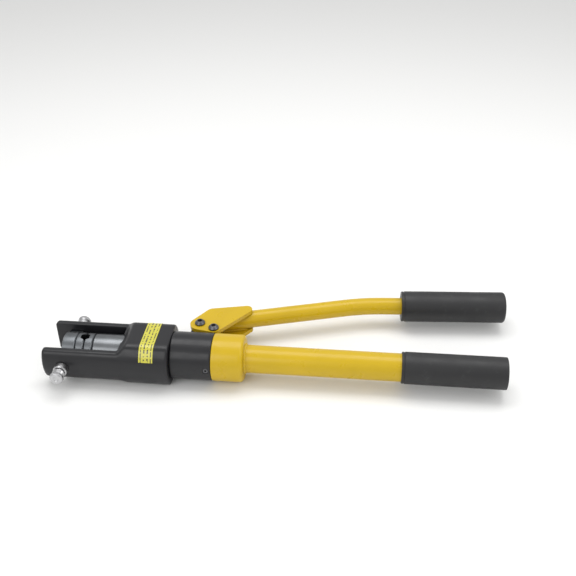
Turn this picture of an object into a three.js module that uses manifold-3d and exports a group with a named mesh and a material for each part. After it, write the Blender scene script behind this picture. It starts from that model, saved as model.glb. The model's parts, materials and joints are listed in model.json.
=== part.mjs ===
// A hand-operated hydraulic crimping tool, lying flat with its moving handle closed.
// Millimetres, +Z up. +X runs along the tool from the head to the grips, and +Y points to the
// side of the moving handle. The origin is on the floor, under the middle of the head block.

import * as THREE from "three";
import { mergeVertices } from "three/addons/utils/BufferGeometryUtils.js";
import Module from "manifold-3d";

const wasm = await Module();
wasm.setup();

// ---- Driving dimensions ---------------------------------------------------------------

const GAP = 0.3; // running clearance between two pieces
const AXIS_HEIGHT = 28; // the tool's long axis above the floor

// Head: a round block cut flat above and below, with two arms and an anvil block, like an H
const HEAD_RADIUS = 36;
const BLOCK_FRONT = -29.5;
const BLOCK_REAR = 31;
const RAMP_LENGTH = 12; // the block slopes down to the thinner arms
const ARM_END = -118;
const ARM_HALF_HEIGHT = 19.5;
const ARM_INNER = 23; // from the axis to an arm's inner face
const ANVIL_FRONT = -99.5;
const ANVIL_REAR = -84;
const ANVIL_KEY = 4; // how far the anvil's ears are let into each arm
const EAR_TOP = 10; // the arms close over the ears, which slide in from below

// Ram and dies
const ROD_RADIUS = 20;
const BORE_RADIUS = 25;
const RAM_NOSE = -63;
const STROKE = 22;
const PISTON_LENGTH = 11;
const FRONT_WALL = 11.5;
const SPRING_BORE = 9;
const DIE_GAP = 0.8;
const DIE_CHAMFER = 1.2;
const HEX_RADIUS = 6;
const SHANK_RADIUS = 6;
const SHANK_LENGTH = 7;
const DIE_BACK_FIXED = ANVIL_REAR + GAP;
const DIE_BACK_MOVING = RAM_NOSE - GAP;
const DIE_MIDDLE = (DIE_BACK_FIXED + DIE_BACK_MOVING) / 2;
const DIE_FACE_FIXED = DIE_MIDDLE - DIE_GAP / 2;
const DIE_FACE_MOVING = DIE_MIDDLE + DIE_GAP / 2;

// Pull knobs that lock the anvil
const KNOB_X = -94;
const KNOB_PIN = 2.5;
const KNOB_RADIUS = 8;
const BUSH_RADIUS = 7;
const BUSH_TIP = 44;
const KNOB_TIP = 57;

// Pump body and fixed handle
const BODY_RADIUS = 28;
const NOSE_LENGTH = 13; // the part of the pump body that the head turns on
const COLLAR_FRONT = 80;
const COLLAR_LENGTH = 36.5;
const SPIGOT_RADIUS = 19;
const SPIGOT_LENGTH = 21.5;
const TUBE_RADIUS = 16.5;
const TUBE_WALL = 2;
const GRIP_START = 299;
const FIXED_GRIP_END = 419;
const GRIP_WALL = 2.4;

// Pump linkage: the moving handle turns on the fulcrum and its drive bolt lifts the plunger
const FULCRUM = new THREE.Vector2(56, 42);
const DRIVE = new THREE.Vector2(74, 34);
const FULCRUM_BOLT = 4;
const DRIVE_BOLT = 3;
const BOLT_HEAD = 6.25;
const LUG_RADIUS = 9.5;
const LUG_HALF_HEIGHT = 11;
const PLATE_THICKNESS = 5;
const PLUNGER_RADIUS = 4.5;
const PLUNGER_BOTTOM = 2;
const GLAND_RADIUS = 6.4;
const GLAND_OFFSET = 1.1;
const RELEASE_DROP = 14; // release spindle below the axis

// Moving handle: a tube that leaves the yoke at a slope and bends nearly parallel to the axis
const MOVING_RADIUS = 10.7;
const HANDLE_ROOT = new THREE.Vector2(70, 65.5);
const HANDLE_BEND = new THREE.Vector2(252, 119);
const HANDLE_TAIL = new THREE.Vector2(424, 130.5);
const BEND_LENGTH = 26;
const MOVING_GRIP = 19.5;
const MOVING_GRIP_LENGTH = 130;

// ---- Materials ------------------------------------------------------------------------

function material(color, roughness, metalness) {
  return new THREE.MeshStandardMaterial({ color, roughness, metalness });
}

const yellowPaint = material(0xeeb111, 0.35, 0.0);
const blackPaint = material(0x14151a, 0.35, 0.1);
const darkSteel = material(0x3a3c42, 0.35, 0.9);
const dieSteel = material(0x7b7e83, 0.35, 1.0);
const brightSteel = material(0xb4b7bb, 0.25, 1.0);
const bronze = material(0xb08a4a, 0.4, 1.0);
const blackRubber = material(0x1b1b1c, 0.8, 0.0);
const labelFilm = material(0xf2e21c, 0.4, 0.0);
const blackPlastic = material(0x1a1a1a, 0.55, 0.0);

// ---- Geometry helpers -----------------------------------------------------------------

// A closed geometry as a solid that can be joined and cut.
function solid(geometry) {
  const bare = geometry.clone();
  bare.deleteAttribute("normal");
  bare.deleteAttribute("uv");
  const merged = mergeVertices(bare, 1e-4);
  return new wasm.Manifold(
    new wasm.Mesh({
      numProp: 3,
      vertProperties: merged.attributes.position.array,
      triVerts: new Uint32Array(merged.index.array),
    }),
  );
}

// The first geometry with all the others cut out of it.
function cut(base, ...tools) {
  const body = tools.reduce((left, tool) => left.subtract(solid(tool)), solid(base));
  return geometryOf(body);
}

function join(first, ...others) {
  return geometryOf(others.reduce((body, other) => body.add(solid(other)), solid(first)));
}

function common(first, second) {
  return geometryOf(solid(first).intersect(solid(second)));
}

function geometryOf(body) {
  const mesh = body.getMesh();
  const positions = new Float32Array(mesh.numVert * 3);
  for (let i = 0; i < mesh.numVert; i++) {
    positions.set(mesh.vertProperties.subarray(i * mesh.numProp, i * mesh.numProp + 3), i * 3);
  }
  const geometry = new THREE.BufferGeometry();
  geometry.setAttribute("position", new THREE.BufferAttribute(positions, 3));
  geometry.setIndex(new THREE.BufferAttribute(new Uint32Array(mesh.triVerts), 1));
  geometry.computeVertexNormals();
  return geometry;
}

// A turned piece about the X axis, from [x, radius] stations that start and end on the axis.
function turned(stations, segments = 28) {
  const profile = stations.map(([x, radius]) => new THREE.Vector2(radius, x));
  return new THREE.LatheGeometry(profile, segments).rotateZ(-Math.PI / 2);
}

function rod(from, to, radius, segments = 28) {
  return turned([[from, 0], [from, radius], [to, radius], [to, 0]], segments);
}

function ring(from, to, inner, outer, segments = 28) {
  const stations = [[from, inner], [from, outer], [to, outer], [to, inner], [from, inner]];
  return turned(stations, segments);
}

function box(x0, x1, y0, y1, z0, z1) {
  const geometry = new THREE.BoxGeometry(x1 - x0, y1 - y0, z1 - z0);
  return geometry.translate((x0 + x1) / 2, (y0 + y1) / 2, (z0 + z1) / 2);
}

// Turns a piece made along X to stand along Y, or along Z.
function alongY(geometry) {
  return geometry.rotateZ(Math.PI / 2);
}

function alongZ(geometry) {
  return geometry.rotateY(-Math.PI / 2);
}

// A plate with its outline in X and Y, between two heights.
function plate(shape, z0, z1) {
  const settings = { depth: z1 - z0, bevelEnabled: false, curveSegments: 12 };
  return new THREE.ExtrudeGeometry(shape, settings).translate(0, 0, z0);
}

// A polygon in X and Z, extruded across Y.
function sideProfile(points, halfWidth) {
  const shape = new THREE.Shape(points.map(([x, z]) => new THREE.Vector2(x, z)));
  const settings = { depth: 2 * halfWidth, bevelEnabled: false };
  const geometry = new THREE.ExtrudeGeometry(shape, settings);
  return geometry.translate(0, 0, -halfWidth).rotateX(Math.PI / 2);
}

// The outline that a belt makes round several circles, given as [x, y, radius].
function beltShape(circles, steps = 24) {
  const rim = circles.flatMap(([x, y, radius]) =>
    Array.from({ length: steps }, (_, i) => {
      const angle = (i / steps) * 2 * Math.PI;
      return new THREE.Vector2(x + radius * Math.cos(angle), y + radius * Math.sin(angle));
    }),
  );
  const sorted = rim.sort((a, b) => a.x - b.x || a.y - b.y);
  const turnsLeft = (a, b, c) => (b.x - a.x) * (c.y - a.y) - (b.y - a.y) * (c.x - a.x) > 1e-6;
  const chain = (points) => {
    const kept = [];
    for (const point of points) {
      while (kept.length > 1 && !turnsLeft(kept.at(-2), kept.at(-1), point)) kept.pop();
      kept.push(point);
    }
    return kept.slice(0, -1);
  };
  return new THREE.Shape([...chain(sorted), ...chain(sorted.reverse())]);
}

function hexPrism(acrossCorners, from, to) {
  return rod(from, to, acrossCorners / 2, 6);
}

const tool = new THREE.Group();
tool.position.z = AXIS_HEIGHT;

function add(name, geometry, look, parent = tool) {
  const mesh = new THREE.Mesh(geometry, look);
  mesh.name = name;
  parent.add(mesh);
  return mesh;
}

// ---- Head -----------------------------------------------------------------------------

const SEAL_WIDTH = 2.2;
const WIPER_X = BLOCK_FRONT + 4.3;
const WIRE_WIDTH = 2.4;
const WIRE_X = BLOCK_REAR - 4.4; // the wire that holds the pump body in the head

function headFrame() {
  const chamfer = 3;
  const half = [
    [ARM_END, ARM_HALF_HEIGHT - chamfer],
    [ARM_END + chamfer, ARM_HALF_HEIGHT],
    [BLOCK_FRONT, ARM_HALF_HEIGHT],
    [BLOCK_FRONT + RAMP_LENGTH, AXIS_HEIGHT],
    [BLOCK_REAR, AXIS_HEIGHT],
  ];
  const mirrored = half.map(([x, z]) => [x, -z]).reverse();
  const outline = sideProfile([...mirrored, ...half], HEAD_RADIUS + 1);
  const round = rod(ARM_END - 1, BLOCK_REAR + 1, HEAD_RADIUS, 52);
  const tall = HEAD_RADIUS;
  const pocket = ARM_INNER + ANVIL_KEY;
  const bushBore = alongY(rod(-HEAD_RADIUS - 2, HEAD_RADIUS + 2, BUSH_RADIUS - 1 + GAP, 18));
  return cut(
    common(outline, round),
    box(ARM_END - 2, BLOCK_FRONT, -ARM_INNER, ARM_INNER, -tall, tall),
    box(ANVIL_FRONT - GAP, ANVIL_REAR + GAP, -pocket, pocket, -tall, EAR_TOP + GAP),
    rod(BLOCK_FRONT - 1, BLOCK_REAR, ROD_RADIUS + GAP, 32),
    rod(BLOCK_FRONT + FRONT_WALL, BLOCK_REAR + 1, BORE_RADIUS, 32),
    ring(WIRE_X - GAP, WIRE_X + WIRE_WIDTH + GAP, BORE_RADIUS - 1, BORE_RADIUS + 1.7, 32),
    ring(WIPER_X - GAP, WIPER_X + SEAL_WIDTH + GAP, ROD_RADIUS - 1, ROD_RADIUS + 2.3, 32),
    cut(bushBore, box(-20, 20, -pocket, pocket, -20, 20)).translate(KNOB_X, 0, 0),
  );
}

// A round block with its ends chamfered, as wide as the ram.
function roundBlock(from, to) {
  const rim = ROD_RADIUS - DIE_CHAMFER;
  return turned([
    [from, 0],
    [from, rim],
    [from + DIE_CHAMFER, ROD_RADIUS],
    [to - DIE_CHAMFER, ROD_RADIUS],
    [to, rim],
    [to, 0],
  ], 32);
}

// The anvil has an ear let into each arm and carries the fixed die in a socket.
function anvilBlock() {
  const reach = ARM_INNER + ANVIL_KEY - GAP;
  const pinHole = alongY(rod(-reach - 1, reach + 1, KNOB_PIN + GAP, 16));
  const ears = box(ANVIL_FRONT, ANVIL_REAR, -reach, reach, 1 - ARM_HALF_HEIGHT, EAR_TOP);
  return cut(
    join(roundBlock(ANVIL_FRONT, ANVIL_REAR), ears),
    rod(ANVIL_REAR - SHANK_LENGTH - 1, ANVIL_REAR + 1, SHANK_RADIUS + GAP, 18),
    cut(pinHole, box(-20, 20, -20.5, 20.5, -20, 20)).translate(KNOB_X, 0, 0),
  );
}

// One half of the crimping die, with its half of the hexagon cut into the face at faceX.
function die(backX, faceX, shankX) {
  const hexagon = alongZ(hexPrism(2 * HEX_RADIUS, -30, 30)).rotateZ(Math.PI / 2);
  const block = roundBlock(Math.min(backX, faceX), Math.max(backX, faceX));
  const root = backX < shankX ? backX - 1 : backX + 1;
  const shank = rod(Math.min(root, shankX), Math.max(root, shankX), SHANK_RADIUS, 18);
  return cut(join(block, shank), hexagon.translate(DIE_MIDDLE, 0, 0));
}

add("head_frame", headFrame(), blackPaint);
add("anvil_block", anvilBlock(), dieSteel);
add("fixed_die", die(DIE_BACK_FIXED, DIE_FACE_FIXED, ANVIL_REAR - SHANK_LENGTH), dieSteel);

// A film label that wraps over the top of the block and down both sides.
function labelBand() {
  const from = -2;
  const to = 14.5;
  const lowest = 12;
  const film = 0.4;
  const blockShape = (offset, spare) => {
    const flat = AXIS_HEIGHT + offset;
    const round = rod(from - spare, to + spare, HEAD_RADIUS + offset, 52);
    return common(round, box(from - spare, to + spare, -40, 40, lowest - spare, flat));
  };
  return cut(blockShape(GAP + film, 0), blockShape(GAP, 1));
}

add("label_band", labelBand(), labelFilm);
add("rod_wiper", ring(WIPER_X, WIPER_X + SEAL_WIDTH, ROD_RADIUS + 0.2, ROD_RADIUS + 2), blackRubber);
const swivelWire = ring(WIRE_X, WIRE_X + WIRE_WIDTH, BORE_RADIUS - 1.5, BORE_RADIUS + 1.4, 32);
add("swivel_wire", swivelWire, brightSteel);

// ---- Pull knobs -----------------------------------------------------------------------

// Made for the back arm, with the pin along +Y; the front one is turned half round.
function knob() {
  const pinTip = 21.5;
  const collar = ARM_INNER + ANVIL_KEY + 0.5;
  return alongY(
    turned([
      [pinTip, 0],
      [pinTip, KNOB_PIN],
      [collar, KNOB_PIN],
      [collar, 4],
      [collar + 1.5, 4],
      [collar + 1.5, KNOB_PIN],
      [BUSH_TIP + 1, KNOB_PIN],
      [BUSH_TIP + 1, 6.2],
      [BUSH_TIP + 3, KNOB_RADIUS - 0.5],
      [KNOB_TIP - 6, KNOB_RADIUS - 2.5],
      [KNOB_TIP - 4, KNOB_RADIUS],
      [KNOB_TIP - 1.5, KNOB_RADIUS],
      [KNOB_TIP, KNOB_RADIUS - 1.5],
      [KNOB_TIP, 0],
    ], 20),
  );
}

function knobSpring() {
  const start = ARM_INNER + ANVIL_KEY + 2.3;
  return alongY(ring(start, start + 6, KNOB_PIN + 0.5, 4, 20));
}

// The bush is screwed into the arm; its lip leaves the spring and the collar room to travel.
function knobBush() {
  const start = ARM_INNER + ANVIL_KEY + GAP;
  return alongY(
    turned([
      [start, 4.4],
      [start, BUSH_RADIUS - 1],
      [HEAD_RADIUS + GAP, BUSH_RADIUS - 1],
      [HEAD_RADIUS + GAP, BUSH_RADIUS + 1],
      [BUSH_TIP - 1, BUSH_RADIUS + 1],
      [BUSH_TIP, BUSH_RADIUS],
      [BUSH_TIP, KNOB_PIN + GAP],
      [BUSH_TIP - 2, KNOB_PIN + GAP],
      [BUSH_TIP - 2, 4.4],
      [start, 4.4],
    ], 18),
  );
}

for (const [side, turn] of [["back", 0], ["front", Math.PI]]) {
  const station = new THREE.Group();
  station.position.x = KNOB_X;
  station.rotation.z = turn;
  tool.add(station);
  add(`knob_${side}`, knob(), brightSteel, station);
  add(`knob_spring_${side}`, knobSpring(), brightSteel, station);
  add(`knob_bush_${side}`, knobBush(), brightSteel, station);
}

// ---- Ram ------------------------------------------------------------------------------

const PISTON_FRONT = BLOCK_FRONT + FRONT_WALL + 0.5;
const PISTON_REAR = PISTON_FRONT + PISTON_LENGTH;
const STUB_RADIUS = 14;
const SEAL_X = PISTON_FRONT + 4.4;

function ramRod() {
  const body = turned([
    [RAM_NOSE, 0],
    [RAM_NOSE, ROD_RADIUS - 1.5],
    [RAM_NOSE + 1.5, ROD_RADIUS],
    [PISTON_FRONT - GAP, ROD_RADIUS],
    [PISTON_FRONT - GAP, STUB_RADIUS],
    [PISTON_REAR - 1, STUB_RADIUS],
    [PISTON_REAR - 1, 0],
  ], 32);
  return cut(
    body,
    rod(RAM_NOSE - 1, RAM_NOSE + SHANK_LENGTH + 0.5, SHANK_RADIUS + GAP, 18),
    rod(RAM_NOSE + 10, PISTON_REAR, SPRING_BORE, 18),
  );
}

add("ram_rod", ramRod(), brightSteel);

// The piston is a ring on the rod's stub, with a groove for its seal.
function ramPiston() {
  return cut(
    ring(PISTON_FRONT, PISTON_REAR, STUB_RADIUS + GAP, BORE_RADIUS - GAP, 32),
    ring(SEAL_X - GAP, SEAL_X + SEAL_WIDTH + GAP, BORE_RADIUS - 2.5, BORE_RADIUS + 1, 32),
  );
}

add("ram_piston", ramPiston(), darkSteel);
const pistonSeal = ring(SEAL_X, SEAL_X + SEAL_WIDTH, BORE_RADIUS - 2.2, BORE_RADIUS - 0.2, 32);
add("piston_seal", pistonSeal, blackRubber);
const movingDie = die(DIE_BACK_MOVING, DIE_FACE_MOVING, RAM_NOSE + SHANK_LENGTH);
add("moving_die", movingDie, dieSteel);
const springRear = BLOCK_REAR - NOSE_LENGTH + 3.5;
const returnSpring = ring(RAM_NOSE + 10.5, springRear, SPRING_BORE - 3, SPRING_BORE - 0.6, 20);
add("return_spring", returnSpring, brightSteel);

// ---- Pump body ------------------------------------------------------------------------

const BODY_FRONT = BLOCK_REAR + GAP;
const BODY_REAR = COLLAR_FRONT - GAP;
const NOSE_FRONT = BLOCK_REAR - NOSE_LENGTH;
const NOSE_RADIUS = BORE_RADIUS - 0.4;
const NOSE_SEAL_X = NOSE_FRONT + 3.5;
const SPIGOT_END = COLLAR_FRONT + SPIGOT_LENGTH;
const SPRING_ROOM = NOSE_FRONT + STROKE + 9; // the end of the bore that the return spring enters
const SEAT_X = DRIVE.x - 8.5; // the seat of the outlet ball
const FEED_Y = -9; // the feed passage from the bladder to the inlet ball
const RELEASE_SEAT = BODY_FRONT + 30;
const PASSAGE_RADIUS = 1.5;

// The lug that carries the fulcrum bolt stands out from the pump body towards +Y.
function lug() {
  const root = BODY_RADIUS - 8;
  const shape = beltShape([
    [FULCRUM.x, FULCRUM.y, LUG_RADIUS],
    [FULCRUM.x - 2, root, LUG_RADIUS],
  ]);
  return plate(shape, -LUG_HALF_HEIGHT, LUG_HALF_HEIGHT);
}

function pumpBody() {
  const core = turned([
    [NOSE_FRONT, 0],
    [NOSE_FRONT, NOSE_RADIUS],
    [BODY_FRONT, NOSE_RADIUS],
    [BODY_FRONT, BODY_RADIUS],
    [BODY_REAR, BODY_RADIUS],
    [BODY_REAR, SPIGOT_RADIUS],
    [SPIGOT_END, SPIGOT_RADIUS],
    [SPIGOT_END, 11],
    [SPIGOT_END + 9, 11],
    [SPIGOT_END + 9, 0],
  ], 32);
  const fulcrumHole = alongZ(rod(-20, 20, FULCRUM_BOLT + GAP, 20));
  const plungerBore = alongY(rod(-3, 32, PLUNGER_RADIUS + GAP, 20));
  const glandBore = alongY(rod(19, 32, GLAND_RADIUS + GAP, 20));
  const inletSeat = alongY(rod(-7, 0, PASSAGE_RADIUS, 12));
  const inletBore = alongY(rod(-32, -6, 3.4, 16));
  return cut(
    join(core, lug()),
    ring(NOSE_SEAL_X - GAP, NOSE_SEAL_X + SEAL_WIDTH + GAP, NOSE_RADIUS - 2.2, NOSE_RADIUS + 1, 32),
    ring(WIRE_X - GAP, WIRE_X + WIRE_WIDTH + GAP, NOSE_RADIUS - 1.4, NOSE_RADIUS + 1, 32),
    rod(NOSE_FRONT - 1, SPRING_ROOM, SPRING_BORE, 24),
    rod(SPRING_ROOM - 1, SEAT_X, 4, 16),
    rod(SEAT_X - 1, DRIVE.x, PASSAGE_RADIUS, 12),
    fulcrumHole.translate(FULCRUM.x, FULCRUM.y, 0),
    plungerBore.translate(DRIVE.x, 0, 0),
    glandBore.translate(DRIVE.x - GLAND_OFFSET, 0, 0),
    inletSeat.translate(DRIVE.x, 0, 0),
    inletBore.translate(DRIVE.x, 0, 0),
    rod(DRIVE.x, SPIGOT_END + 12, PASSAGE_RADIUS, 12).translate(0, FEED_Y, 0),
    rod(RELEASE_SEAT, SPIGOT_END + 1, 3.3, 16).translate(0, 0, -RELEASE_DROP),
  );
}

add("pump_body", pumpBody(), blackPaint);
const noseSeal = ring(NOSE_SEAL_X, NOSE_SEAL_X + SEAL_WIDTH, NOSE_RADIUS - 1.9, NOSE_RADIUS + 0.2, 32);
add("nose_seal", noseSeal, blackRubber);

function ball(radius, x, y, z) {
  return new THREE.SphereGeometry(radius, 12, 8).translate(x, y, z);
}

add("outlet_ball", ball(3.2, SEAT_X - 3.6, 0, 0), brightSteel);
add("outlet_spring", ring(SEAT_X - 14.5, SEAT_X - 7.3, 1.8, 3.2, 16), brightSteel);
add("inlet_ball", ball(2.8, DRIVE.x, FEED_Y - 0.9, 0), brightSteel);

function inletPlug() {
  const plug = turned([[-27, 0], [-27, 3], [-15, 3], [-15, 0]], 20);
  return alongY(cut(plug, hexPrism(3, -28, -24))).translate(DRIVE.x, 0, 0);
}

add("inlet_plug", inletPlug(), darkSteel);

// The gland stands a little in front of the plunger, clear of the collar, so its bore is off centre.
function plungerGland() {
  const outside = alongY(rod(19.4, 27.4, GLAND_RADIUS, 20)).translate(DRIVE.x - GLAND_OFFSET, 0, 0);
  return cut(outside, alongY(rod(18, 29, PLUNGER_RADIUS + GAP, 20)).translate(DRIVE.x, 0, 0));
}

add("plunger_gland", plungerGland(), bronze);

// ---- Plunger --------------------------------------------------------------------------

// The plunger's eye is slotted along X, because the drive bolt swings on an arc.
function plunger() {
  const shaft = alongY(rod(PLUNGER_BOTTOM, 32, PLUNGER_RADIUS, 18)).translate(DRIVE.x, 0, 0);
  const eyeFront = FULCRUM.x + LUG_RADIUS + 1;
  const eye = box(eyeFront, DRIVE.x + 9.5, 28.9, DRIVE.y + 6.5, -6, 6);
  const slot = beltShape([
    [DRIVE.x - 0.6, DRIVE.y, DRIVE_BOLT + 0.5],
    [DRIVE.x + 2, DRIVE.y, DRIVE_BOLT + 0.5],
  ]);
  return cut(join(eye, shaft), plate(slot, -8, 8));
}

add("plunger", plunger(), brightSteel);

// ---- Oil bladder, filler plug and release valve ---------------------------------------

function oilBladder() {
  const start = SPIGOT_END + 1;
  const end = GRIP_START - 14;
  return turned([
    [start, 11.3],
    [start, 12.6],
    [start + 9, 12.6],
    [start + 14, 13.8],
    [end - 6, 13.8],
    [end, 8],
    [end, 4.3],
    [end - 2, 4.3],
    [end - 2, 7],
    [end - 7, 12.3],
    [start + 14, 12.3],
    [start + 9, 11.3],
    [start, 11.3],
  ], 32);
}

add("oil_bladder", oilBladder(), blackRubber);
add("bladder_clamp", ring(SPIGOT_END + 2, SPIGOT_END + 8, 12.9, 14.1), brightSteel);

function fillerPlug() {
  const end = GRIP_START - 14;
  const shank = [[end - 4, 0], [end - 4, 4], [end + GAP, 4]];
  const head = [[end + GAP, 7], [end + 4, 7], [end + 4, 0]];
  return cut(turned([...shank, ...head], 20), hexPrism(5, end + 1, end + 5));
}

add("filler_plug", fillerPlug(), darkSteel);
add("release_ball", ball(2.8, RELEASE_SEAT + 3.4, 0, -RELEASE_DROP), brightSteel);
const spindle = rod(RELEASE_SEAT + 8, SPIGOT_END + 0.7, 2.9, 16).translate(0, 0, -RELEASE_DROP);
add("release_spindle", spindle, brightSteel);

// ---- Fixed handle ---------------------------------------------------------------------

const COLLAR_REAR = COLLAR_FRONT + COLLAR_LENGTH;

function handleCollar() {
  const shoulder = 9;
  const stations = [[COLLAR_FRONT, SPIGOT_RADIUS + GAP], [COLLAR_FRONT, BODY_RADIUS]];
  const steps = 4;
  for (let i = 0; i <= steps; i++) {
    const angle = (i / steps) * (Math.PI / 2);
    stations.push([
      COLLAR_REAR - shoulder + shoulder * Math.sin(angle),
      BODY_RADIUS - shoulder + shoulder * Math.cos(angle),
    ]);
  }
  const seat = TUBE_RADIUS + GAP;
  const chamber = SPIGOT_END + 4;
  stations.push([COLLAR_REAR, seat], [chamber, seat], [chamber, SPIGOT_RADIUS + GAP]);
  stations.push([COLLAR_FRONT, SPIGOT_RADIUS + GAP]);
  return turned(stations, 40);
}

// A ring with a slope on its face pushes the release spindle when the handle is twisted.
function releaseCam() {
  const front = SPIGOT_END + 1;
  const rear = SPIGOT_END + 3.5;
  const reach = SPIGOT_RADIUS + 1;
  const wedge = sideProfile([[front, -reach], [rear, -reach], [rear, reach]], reach);
  const rim = ring(front, rear, 14.5, SPIGOT_RADIUS - 0.5, 32);
  return common(rim, join(wedge, box(front + 1, rear + 0.5, -reach, reach, -reach, reach)));
}

add("handle_collar", handleCollar(), yellowPaint);
add("release_cam", releaseCam(), darkSteel);
const fixedTube = ring(SPIGOT_END + 5, FIXED_GRIP_END - 5, TUBE_RADIUS - TUBE_WALL, TUBE_RADIUS, 32);
add("fixed_tube", fixedTube, yellowPaint);

// A rubber sleeve with rounded ends, from 0 along X, that fits over a tube.
function gripSleeve(length, bore, outer) {
  const round = 1.6;
  return turned([
    [0, bore],
    [0, outer - round],
    [round, outer],
    [length - round, outer],
    [length, outer - round],
    [length, bore],
    [0, bore],
  ], 32);
}

function endPlug(radius, rim) {
  return turned([[-14, 0], [-14, radius], [0, radius], [0, rim], [3.5, rim], [3.5, 0]], 32);
}

const fixedGripLength = FIXED_GRIP_END - GRIP_START;
const fixedGrip = gripSleeve(fixedGripLength, TUBE_RADIUS + GAP, TUBE_RADIUS + GRIP_WALL);
add("fixed_grip", fixedGrip, blackRubber).position.x = GRIP_START;
const fixedPlug = endPlug(TUBE_RADIUS - TUBE_WALL - GAP, TUBE_RADIUS);
add("fixed_end_plug", fixedPlug, blackPlastic).position.x = FIXED_GRIP_END - 5 + GAP;

// ---- Moving handle --------------------------------------------------------------------

const PLATE_INNER = LUG_HALF_HEIGHT + GAP;
const PLATE_OUTER = PLATE_INNER + PLATE_THICKNESS;
const BOLT_TOP = PLATE_OUTER + 4.5;
const NUT_FOOT = -PLATE_OUTER - 4.2;
const NUT_CORNERS = 12.5;
const SOCKET_CORNERS = 5.8;
const SOCKET_DEPTH = 2.2;

function yokePlate(z0, z1) {
  const outline = beltShape([
    [FULCRUM.x, FULCRUM.y, 12],
    [DRIVE.x, DRIVE.y, 7.6],
    [HANDLE_ROOT.x - 2, HANDLE_ROOT.y, 9],
    [HANDLE_ROOT.x + 38, HANDLE_ROOT.y + 11, 7],
  ]);
  return cut(
    plate(outline, z0, z1),
    alongZ(rod(-30, 30, FULCRUM_BOLT + GAP, 18)).translate(FULCRUM.x, FULCRUM.y, 0),
    alongZ(rod(-30, 30, DRIVE_BOLT + GAP, 18)).translate(DRIVE.x, DRIVE.y, 0),
  );
}

// A bolt through both plates, with a button head and a socket on top, and its nut below.
function yokeBolt(radius, place) {
  const seat = PLATE_OUTER + GAP;
  const bolt = turned([
    [NUT_FOOT, 0],
    [NUT_FOOT, radius],
    [seat, radius],
    [seat, BOLT_HEAD],
    [seat + 1.6, BOLT_HEAD],
    [BOLT_TOP, BOLT_HEAD * 0.62],
    [BOLT_TOP, 0],
  ], 20);
  const socket = hexPrism(SOCKET_CORNERS, BOLT_TOP - SOCKET_DEPTH, BOLT_TOP + 1);
  return alongZ(cut(bolt, socket)).translate(place.x, place.y, 0);
}

function yokeNut(radius, place) {
  const block = hexPrism(NUT_CORNERS, NUT_FOOT, -PLATE_OUTER - GAP);
  const nut = cut(block, rod(2 * NUT_FOOT, 0, radius + GAP, 20));
  return alongZ(nut).translate(place.x, place.y, 0);
}

add("yoke_plate_top", yokePlate(PLATE_INNER, PLATE_OUTER), yellowPaint);
add("yoke_plate_bottom", yokePlate(-PLATE_OUTER, -PLATE_INNER), yellowPaint);
for (const [name, radius, place] of [["fulcrum", FULCRUM_BOLT, FULCRUM], ["drive", DRIVE_BOLT, DRIVE]]) {
  add(`${name}_bolt`, yokeBolt(radius, place), darkSteel);
  add(`${name}_nut`, yokeNut(radius, place), darkSteel);
}

// The handle's centre line: two straights with a bend between them.
function handlePath() {
  const into = HANDLE_BEND.clone().sub(HANDLE_ROOT).normalize().multiplyScalar(BEND_LENGTH);
  const out = HANDLE_TAIL.clone().sub(HANDLE_BEND).normalize().multiplyScalar(BEND_LENGTH);
  const at = (point) => new THREE.Vector3(point.x, point.y, 0);
  const path = new THREE.CurvePath();
  path.add(new THREE.LineCurve3(at(HANDLE_ROOT), at(HANDLE_BEND.clone().sub(into))));
  const bend = [HANDLE_BEND.clone().sub(into), HANDLE_BEND, HANDLE_BEND.clone().add(out)].map(at);
  path.add(new THREE.QuadraticBezierCurve3(...bend));
  path.add(new THREE.LineCurve3(at(HANDLE_BEND.clone().add(out)), at(HANDLE_TAIL)));
  return path;
}

function movingTube() {
  const section = new THREE.Shape().absarc(0, 0, MOVING_RADIUS, 0, 2 * Math.PI);
  section.holes.push(new THREE.Path().absarc(0, 0, MOVING_RADIUS - TUBE_WALL, 0, 2 * Math.PI, true));
  const settings = { steps: 18, extrudePath: handlePath(), curveSegments: 10 };
  return new THREE.ExtrudeGeometry(section, settings);
}

add("moving_tube", movingTube(), yellowPaint);

const tailDirection = HANDLE_TAIL.clone().sub(HANDLE_BEND).normalize();
const grip = new THREE.Group();
grip.position.set(HANDLE_TAIL.x, HANDLE_TAIL.y, 0);
grip.rotation.z = tailDirection.angle();
tool.add(grip);
const movingGrip = gripSleeve(MOVING_GRIP_LENGTH, MOVING_RADIUS + GAP, MOVING_GRIP);
add("moving_grip", movingGrip, blackRubber, grip).position.x = 5 - MOVING_GRIP_LENGTH;
const movingPlug = endPlug(MOVING_RADIUS - TUBE_WALL - GAP, MOVING_RADIUS);
add("moving_end_plug", movingPlug, blackPlastic, grip).position.x = GAP;

export default tool;
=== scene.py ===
"""A hand-operated hydraulic crimping tool, lying flat, with its fine shapes and materials."""

import json
import math

import bmesh
import bpy
from mathutils import Matrix, Vector


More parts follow.
